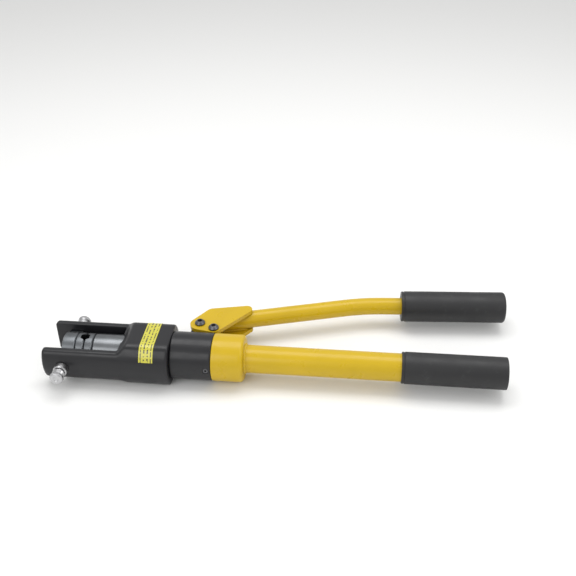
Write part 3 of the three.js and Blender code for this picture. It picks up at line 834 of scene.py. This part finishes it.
def grip_profile(length, bore, radius):
    """A rubber sleeve from 0 along X: a thin lip at its mouth and a well rounded end."""
    mouth = radius - 0.5 * MM
    outline = [
        (0, bore),
        (0, mouth),
        (2.4 * MM, mouth),
        (2.8 * MM, mouth - 0.35 * MM),
        (3.6 * MM, mouth - 0.35 * MM),
        (4.0 * MM, radius - 0.2 * MM),
        (length * 0.3, radius - 0.1 * MM),
        (length * 0.7, radius - 0.1 * MM),
        (length, radius),
        (length, bore),
    ]
    radii = [0.3, 0.9, 0.3, 0.2, 0.2, 0.4, 20, 20, 4.2, 0.4]
    return rounded(outline, [radius * MM for radius in radii], closed=True, steps=8)


def plug_profile(radius, rim):
    """An end plug with a shallow dish, closed on the axis."""
    dish = PLUG_RIM - 0.8 * MM
    outline = [
        (-14 * MM, 0),
        (-14 * MM, radius),
        (0, radius),
        (0, rim),
        (PLUG_RIM, rim),
        (PLUG_RIM, rim * 0.7),
        (dish, rim * 0.6),
        (dish, 0),
    ]
    return rounded(outline, 0.6 * MM)


def make_fixed_grip():
    length = GRIP_HIGH.x - GRIP_LOW.x
    grip = turned("grip_fixed", grip_profile(length, TUBE_RADIUS + GAP, GRIP_HIGH.y))
    piece_of(placed(grip, x=GRIP_LOW.x, z=AXIS_Z), "fixed_handle", "grip_rubber", "fixed_grip")
    plug = turned("plug_fixed", plug_profile(TUBE_RADIUS - TUBE_WALL - GAP, TUBE_RADIUS))
    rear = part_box("fixed_end_plug")[1].x - PLUG_RIM
    piece_of(placed(plug, x=rear, z=AXIS_Z), "fixed_handle", "black_plastic", "fixed_end_plug")


make_collar()
make_weld("weld_collar", COLLAR_HIGH.x + 0.4 * MM, TUBE_RADIUS + 0.2 * MM, 2.4 * MM)
make_fixed_tube()
make_fixed_grip()


# ---- Moving handle ---------------------------------------------------------------------


def make_yoke(side, node):
    low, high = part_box(node)
    fulcrum, drive = middle(FULCRUM), middle(DRIVE)
    outline = belt(
        [
            (fulcrum.x, fulcrum.y, 12 * MM),
            (drive.x, drive.y, 7.6 * MM),
            (HANDLE_ROOT.x - 2 * MM, HANDLE_ROOT.y, 9 * MM),
            (HANDLE_ROOT.x + 38 * MM, HANDLE_ROOT.y + 11 * MM, 7 * MM),
        ]
    )
    yoke = plate(f"yoke_{side}", outline, low.z, high.z)
    for centre, radius in ((fulcrum, FULCRUM_BOLT), (drive, DRIVE_BOLT)):
        hole = along_z(rod(0, 100 * MM, radius + GAP))
        carved(yoke, [placed(hole, x=centre.x, y=centre.y)])
    return piece_of(bevelled(yoke, 1.0 * MM), "moving_handle", "yellow_paint", node)


def make_bolt(name, corners, radius):
    """A button-head bolt with a hexagon socket, through both yoke plates."""
    centre = middle(corners)
    bottom = corners[0].z
    low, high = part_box(f"{name}_bolt")
    head_radius = (high.x - low.x) / 2
    seat = PLATE_TOP + GAP
    profile = rounded(
        [
            (bottom, 0),
            (bottom, radius - 0.5 * MM),
            (bottom + 0.6 * MM, radius),
            (seat, radius),
            (seat, head_radius),
            (seat + 1.6 * MM, head_radius),
            (high.z, head_radius * 0.62),
            (high.z, 0),
        ],
        [0, 0.1 * MM, 0.1 * MM, 0.1 * MM, 0.4 * MM, 1.2 * MM, 0.8 * MM, 0],
    )
    bolt = placed(along_z(turned(f"bolt_{name}", profile)), x=centre.x, y=centre.y)
    socket = along_z(rod(high.z - 2.2 * MM, high.z + 1 * MM, 2.9 * MM, 6))
    carved(bolt, [placed(socket, x=centre.x, y=centre.y)])
    piece_of(smooth(bolt), "moving_handle", "dark_steel", f"{name}_bolt")


def make_nut(name, corners, radius):
    centre = middle(corners)
    low, high = corners
    across = (high.x - low.x) / 2
    nut = placed(along_z(rod(low.z, high.z, across, 6)), x=centre.x, y=centre.y)
    bore = along_z(rod(low.z - 10 * MM, high.z + 10 * MM, radius + GAP))
    carved(nut, [placed(bore, x=centre.x, y=centre.y)])
    piece_of(bevelled(nut, 0.5 * MM), "moving_handle", "dark_steel", f"{name}_nut")


def handle_points(steps=16):
    """The handle's centre line, with the bend as a smooth curve."""
    into = (HANDLE_BEND - HANDLE_ROOT).normalized() * BEND_LENGTH
    out = (HANDLE_TAIL - HANDLE_BEND).normalized() * BEND_LENGTH
    start, end = HANDLE_BEND - into, HANDLE_BEND + out
    bend = []
    for step in range(steps + 1):
        t = step / steps
        bend.append(start * (1 - t) ** 2 + HANDLE_BEND * 2 * t * (1 - t) + end * t * t)
    return [HANDLE_ROOT, *bend, HANDLE_TAIL]


def swept(name, points, outer, inner, segments=64):
    """A tube of round section along a line of points that stays level."""
    bm = bmesh.new()
    rings = []
    angles = [k / segments * math.tau for k in range(segments)]
    for i, point in enumerate(points):
        before, after = points[max(i - 1, 0)], points[min(i + 1, len(points) - 1)]
        side = (after - before).normalized().cross(Vector((0, 0, 1)))
        for radius in (outer, inner):
            ring = []
            for angle in angles:
                rise = Vector((0, 0, radius * math.sin(angle)))
                ring.append(bm.verts.new(point + side * radius * math.cos(angle) + rise))
            rings.append(ring)
    order = rings[0::2] + rings[1::2][::-1]
    for first, second in zip(order, order[1:] + order[:1]):
        for k in range(segments):
            j = (k + 1) % segments
            bm.faces.new((first[k], first[j], second[j], second[k]))
    bmesh.ops.recalc_face_normals(bm, faces=bm.faces)
    return smooth(scratch_object(name, mesh_from(bm, name)))


def make_moving_tube():
    tube = swept("pump_tube", handle_points(), MOVING_RADIUS, MOVING_RADIUS - TUBE_WALL)
    piece_of(tube, "moving_handle", "yellow_paint", "moving_tube")


def make_moving_grip():
    along = (HANDLE_TAIL - HANDLE_BEND).normalized()
    turn = math.atan2(along.y, along.x)
    sleeve = grip_profile(MOVING_GRIP_LENGTH, MOVING_RADIUS + GAP, MOVING_GRIP_RADIUS)
    grip = placed(turned("grip_moving", sleeve), x=5 * MM - MOVING_GRIP_LENGTH)
    stopper = plug_profile(MOVING_RADIUS - TUBE_WALL - GAP, MOVING_RADIUS)
    plug = placed(turned("plug_moving", stopper), x=GAP)
    pieces = ((grip, "grip_rubber", "moving_grip"), (plug, "black_plastic", "moving_end_plug"))
    for piece, slot, node in pieces:
        placed(piece, turn=turn)
        placed(piece, x=HANDLE_TAIL.x, y=HANDLE_TAIL.y, z=AXIS_Z)
        piece_of(piece, "moving_handle", slot, node)


for side in ("top", "bottom"):
    make_yoke(side, f"yoke_plate_{side}")
make_bolt("fulcrum", FULCRUM, FULCRUM_BOLT)
make_bolt("drive", DRIVE, DRIVE_BOLT)
make_nut("fulcrum", FULCRUM, FULCRUM_BOLT)
make_nut("drive", DRIVE, DRIVE_BOLT)
make_moving_tube()
make_moving_grip()


def make_yoke_welds():
    """Weld beads in the four corners between the moving tube and the two plates."""
    along = (HANDLE_BEND - HANDLE_ROOT).normalized()
    side = along.cross(Vector((0, 0, 1)))
    turn = math.atan2(along.y, along.x)
    length, stations = 36 * MM, 72
    off_side, off_level = 5.6 * MM, 10.1 * MM
    for i, (across, height) in enumerate(((1, 1), (1, -1), (-1, 1), (-1, -1))):
        profile = [(0, 0)]
        for step in range(stations + 1):
            t = step / stations
            swell = 1.5 + 0.2 * math.sin(t * 20 * math.tau)
            profile.append((t * length, swell * MM * min(1, 8 * t + 0.3, 8 * (1 - t) + 0.3)))
        profile.append((length, 0))
        bead = placed(turned(f"weld_yoke_{i}", profile, segments=20), turn=turn)
        start = HANDLE_ROOT + along * 3 * MM + side * across * off_side
        placed(bead, x=start.x, y=start.y, z=AXIS_Z + height * off_level)
        piece_of(bead, "moving_handle", "yellow_paint")


def make_plunger():
    """The plunger's shaft, and its flat eye with the slot for the drive bolt."""
    low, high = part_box("plunger")
    drive = middle(DRIVE)
    eye_low = BODY_RADIUS + 0.9 * MM
    outline = [(low.x, eye_low), (high.x, eye_low), (high.x, high.y), (low.x, high.y)]
    outline = rounded(outline, [1 * MM, 1 * MM, 5 * MM, 5 * MM], closed=True)
    eye = plate("pump_plunger", outline, low.z, high.z)
    shaft = along_y(rod(low.y, eye_low + 3 * MM, PLUNGER_RADIUS))
    carved(eye, [placed(shaft, x=drive.x, z=AXIS_Z)], "UNION")
    wide = DRIVE_BOLT + 0.5 * MM
    slot = belt([(drive.x - 0.6 * MM, drive.y, wide), (drive.x + 2 * MM, drive.y, wide)])
    carved(eye, [plate("cutter", slot, 0, 100 * MM)])
    return piece_of(bevelled(eye, 0.5 * MM), "plunger", "bright_steel", "plunger")


make_yoke_welds()
make_plunger()


# ---- CAD nodes that stay ---------------------------------------------------------------


def dress_cad_nodes():
    """Gives each CAD node that is still shown the material of its slot."""
    slots = {part["node"]: part["material_slot"] for part in frame["record"]["subparts"]}
    for name, node in frame["nodes"].items():
        node.data.materials.clear()
        node.data.materials.append(LOOKS[slots[name]])


dress_cad_nodes()


# ---- Floor, light and camera -----------------------------------------------------------


def make_floor():
    reach = 40
    floor = box(-reach, reach, -reach, reach, -0.02, 0.0, name="floor")
    floor.data.materials.append(floor_material())


def area_light(name, place, target, size, energy):
    light = bpy.data.lights.new(name, "AREA")
    light.shape = "RECTANGLE"
    light.size, light.size_y = size
    light.energy = energy
    lamp = bpy.data.objects.new(name, light)
    lamp.location = place
    lamp.rotation_euler = (Vector(target) - Vector(place)).to_track_quat("-Z", "Y").to_euler()
    bpy.context.scene.collection.objects.link(lamp)


def make_light():
    world = bpy.data.worlds.new("studio")
    world.use_nodes = True
    background = world.node_tree.nodes["Background"]
    background.inputs["Color"].default_value = (1, 1, 1, 1)
    background.inputs["Strength"].default_value = 0.72
    bpy.context.scene.world = world
    centre = (0.15, 0.03, 0.03)
    area_light("overhead", (0.15, 0.35, 1.3), centre, (1.6, 0.7), 11)
    area_light("front", (-0.5, -1.1, 0.9), centre, (0.8, 0.8), 5)
    area_light("right", (1.3, -0.2, 0.7), centre, (0.5, 0.9), 3)


def make_camera():
    level = math.cos(CAMERA_ELEVATION)
    ahead = Vector((math.sin(CAMERA_YAW), math.cos(CAMERA_YAW), 0))
    forward = ahead * level - Vector((0, 0, math.sin(CAMERA_ELEVATION)))
    right = Vector((math.cos(CAMERA_YAW), -math.sin(CAMERA_YAW), 0))
    up = right.cross(forward)
    rolled_right = right * math.cos(CAMERA_ROLL) + up * math.sin(CAMERA_ROLL)
    rolled_up = up * math.cos(CAMERA_ROLL) - right * math.sin(CAMERA_ROLL)
    data = bpy.data.cameras.new("camera")
    data.lens = CAMERA_LENS
    camera = bpy.data.objects.new("camera", data)
    columns = Matrix((rolled_right, rolled_up, -forward)).transposed()
    camera.matrix_world = Matrix.Translation(CAMERA_PLACE) @ columns.to_4x4()
    bpy.context.scene.collection.objects.link(camera)
    bpy.context.scene.camera = camera


make_floor()
make_light()
make_camera()
bpy.context.scene.view_settings.view_transform = "Standard"
